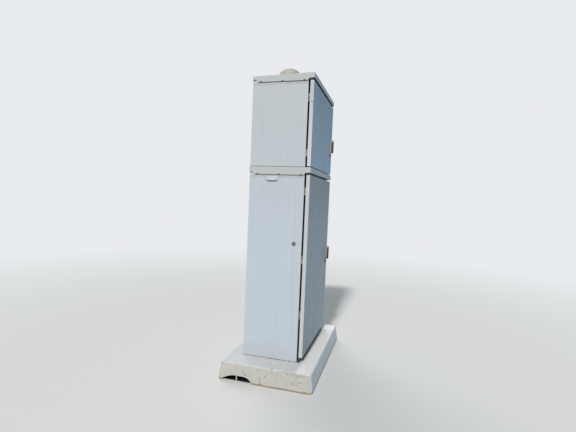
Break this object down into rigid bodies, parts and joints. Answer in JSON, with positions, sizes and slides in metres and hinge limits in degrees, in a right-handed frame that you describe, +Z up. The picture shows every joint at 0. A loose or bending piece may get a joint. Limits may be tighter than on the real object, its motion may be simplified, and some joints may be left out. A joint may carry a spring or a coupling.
{
  "type": "traffic signal controller cabinet",
  "caption": "Tall two-part roadside cabinet for traffic signal control gear: hinged doors with turning handles, folded canopies and a rack inside, on a concrete plinth.",
  "frame": {"origin": "middle of the plinth's underside", "axes": "+Z up; the doors face -Y; the hinges are at the -X edge"},
  "size_m": [1.072, 0.648, 2.1028],
  "materials": {
    "painted_concrete": "painted, worn at the edges",
    "galvanised_steel": "dull galvanised",
    "packer_plastic": "weathered",
    "cabinet_paint": "weathered satin paint",
    "roof_paint": "weathered satin paint",
    "dome_plastic": "chalky, stained at the base",
    "gasket_rubber": "matt foam rubber",
    "handle_casting": "weathered paint on a casting",
    "grip_casting": "worn grey-brown",
    "lock_metal": "dull nickel",
    "lock_barrel_metal": "tarnished",
    "zinc_steel": "zinc plated",
    "bare_aluminium": "satin",
    "gland_plastic": "matt",
    "unit_paint": "textured",
    "panel_paint": "satin",
    "switch_plastic": "semi gloss",
    "toggle_plastic": "semi gloss",
    "knob_plastic": "semi gloss",
    "terminal_plastic": "matt",
    "duct_plastic": "matt",
    "pocket_plastic": "matt"
  },
  "bodies": {
    "cabinet": {"concrete_plinth": "painted_concrete", "anchor_bolts": "galvanised_steel", "arch_packer": "packer_plastic", "lower_housing": "cabinet_paint", "middle_canopy": "cabinet_paint", "upper_housing": "cabinet_paint", "roof_canopy": "roof_paint", "canopy_screws": "galvanised_steel", "housing_bolts": "galvanised_steel", "vent_hood": "cabinet_paint", "roof_dome": "dome_plastic", "side_lock_case": "lock_metal", "frame_hinges": "galvanised_steel", "hinge_pins": "galvanised_steel", "gland_plate": "bare_aluminium", "cable_glands": "gland_plastic", "equipment_plate": "zinc_steel", "rack_frame": "zinc_steel", "fan_tray": "panel_paint", "controller_unit": "unit_paint", "detector_unit": "unit_paint", "power_supply": "unit_paint", "switch_panel": "panel_paint", "breakers": "switch_plastic", "terminal_strips": "terminal_plastic", "wiring_ducts": "duct_plastic", "equipment_shelf": "zinc_steel", "backup_supply": "unit_paint", "network_unit": "unit_paint"},
    "side_key": {"side_lock_barrel": "lock_barrel_metal"},
    "fan": {"fan_rotor": "toggle_plastic"},
    "switch_knob": {"main_switch_knob": "knob_plastic"},
    "lower_door": {"lower_door": "cabinet_paint", "lower_door_gasket": "gasket_rubber", "lower_handle_plate": "handle_casting", "lower_lock_case": "lock_metal", "lower_door_hinges": "galvanised_steel", "document_pocket": "pocket_plastic"},
    "lower_handle": {"lower_handle_boss": "handle_casting", "lower_handle_pin": "zinc_steel", "lower_latch_cam": "zinc_steel"},
    "lower_grip": {"lower_handle_grip": "grip_casting"},
    "lower_key": {"lower_lock_barrel": "lock_barrel_metal"},
    "lower_top_rod": {"lower_top_rod": "zinc_steel"},
    "lower_bottom_rod": {"lower_bottom_rod": "zinc_steel"},
    "upper_door": {"upper_door": "cabinet_paint", "upper_door_gasket": "gasket_rubber", "upper_handle_plate": "handle_casting", "upper_lock_case": "lock_metal", "upper_door_hinges": "galvanised_steel"},
    "upper_handle": {"upper_handle_boss": "handle_casting", "upper_handle_pin": "zinc_steel", "upper_latch_cam": "zinc_steel"},
    "upper_grip": {"upper_handle_grip": "grip_casting"},
    "upper_key": {"upper_lock_barrel": "lock_barrel_metal"},
    "upper_top_rod": {"upper_top_rod": "zinc_steel"},
    "upper_bottom_rod": {"upper_bottom_rod": "zinc_steel"},
    "toggle_1": {"breaker_toggle_1": "toggle_plastic"},
    "toggle_2": {"breaker_toggle_2": "toggle_plastic"},
    "toggle_3": {"breaker_toggle_3": "toggle_plastic"}
  },
  "joints": [
    {"name": "lower_door_swing", "type": "hinge", "parent": "cabinet", "child": "lower_door", "pos_m": [-0.361, -0.1828, 0.825], "axis": [0, 0, -1], "range_deg": [0, 110]},
    {"name": "lower_handle_turn", "type": "hinge", "parent": "lower_door", "child": "lower_handle", "pos_m": [0.349, -0.212, 0.825], "axis": [0, 1, 0], "range_deg": [0, 90]},
    {"name": "lower_grip_lift", "type": "hinge", "parent": "lower_handle", "child": "lower_grip", "pos_m": [0.349, -0.2335, 0.825], "axis": [-1, 0, 0], "range_deg": [0, 45]},
    {"name": "lower_key_turn", "type": "hinge", "parent": "lower_door", "child": "lower_key", "pos_m": [0.349, -0.212, 0.71], "axis": [0, 1, 0], "range_deg": [0, 90]},
    {"name": "lower_top_rod_slide", "type": "slide", "parent": "lower_door", "child": "lower_top_rod", "axis": [0, 0, 1], "range_m": [0, 0.0227]},
    {"name": "lower_bottom_rod_slide", "type": "slide", "parent": "lower_door", "child": "lower_bottom_rod", "axis": [0, 0, -1], "range_m": [0, 0.0227]},
    {"name": "upper_door_swing", "type": "hinge", "parent": "cabinet", "child": "upper_door", "pos_m": [-0.361, -0.1828, 1.706], "axis": [0, 0, -1], "range_deg": [0, 110]},
    {"name": "upper_handle_turn", "type": "hinge", "parent": "upper_door", "child": "upper_handle", "pos_m": [0.349, -0.212, 1.706], "axis": [0, 1, 0], "range_deg": [0, 90]},
    {"name": "upper_grip_lift", "type": "hinge", "parent": "upper_handle", "child": "upper_grip", "pos_m": [0.349, -0.2335, 1.706], "axis": [-1, 0, 0], "range_deg": [0, 45]},
    {"name": "upper_key_turn", "type": "hinge", "parent": "upper_door", "child": "upper_key", "pos_m": [0.349, -0.212, 1.591], "axis": [0, 1, 0], "range_deg": [0, 90]},
    {"name": "upper_top_rod_slide", "type": "slide", "parent": "upper_door", "child": "upper_top_rod", "axis": [0, 0, 1], "range_m": [0, 0.0227]},
    {"name": "upper_bottom_rod_slide", "type": "slide", "parent": "upper_door", "child": "upper_bottom_rod", "axis": [0, 0, -1], "range_m": [0, 0.0227]},
    {"name": "side_key_turn", "type": "hinge", "parent": "cabinet", "child": "side_key", "pos_m": [-0.366, -0.121, 0.915], "axis": [1, 0, 0], "range_deg": [0, 90]},
    {"name": "toggle_1_tip", "type": "hinge", "parent": "cabinet", "child": "toggle_1", "pos_m": [0.054, -0.066, 0.64733], "axis": [1, 0, 0], "range_deg": [0, 60]},
    {"name": "toggle_2_tip", "type": "hinge", "parent": "cabinet", "child": "toggle_2", "pos_m": [0.094, -0.066, 0.64733], "axis": [1, 0, 0], "range_deg": [0, 60]},
    {"name": "toggle_3_tip", "type": "hinge", "parent": "cabinet", "child": "toggle_3", "pos_m": [0.134, -0.066, 0.64733], "axis": [1, 0, 0], "range_deg": [0, 60]},
    {"name": "main_switch_turn", "type": "hinge", "parent": "cabinet", "child": "switch_knob", "pos_m": [-0.086, -0.06, 0.64733], "axis": [0, 1, 0], "range_deg": [0, 90]},
    {"name": "fan_spin", "type": "hinge", "parent": "cabinet", "child": "fan", "pos_m": [0.024, 0.025, 1.22517], "axis": [0, 0, 1], "continuous": true}
  ],
  "couplings": [
    {"joint": "lower_top_rod_slide", "follows": "lower_handle_turn", "m_per_rad": 0.014405},
    {"joint": "lower_bottom_rod_slide", "follows": "lower_handle_turn", "m_per_rad": 0.014405},
    {"joint": "upper_top_rod_slide", "follows": "upper_handle_turn", "m_per_rad": 0.014405},
    {"joint": "upper_bottom_rod_slide", "follows": "upper_handle_turn", "m_per_rad": 0.014405}
  ]
}
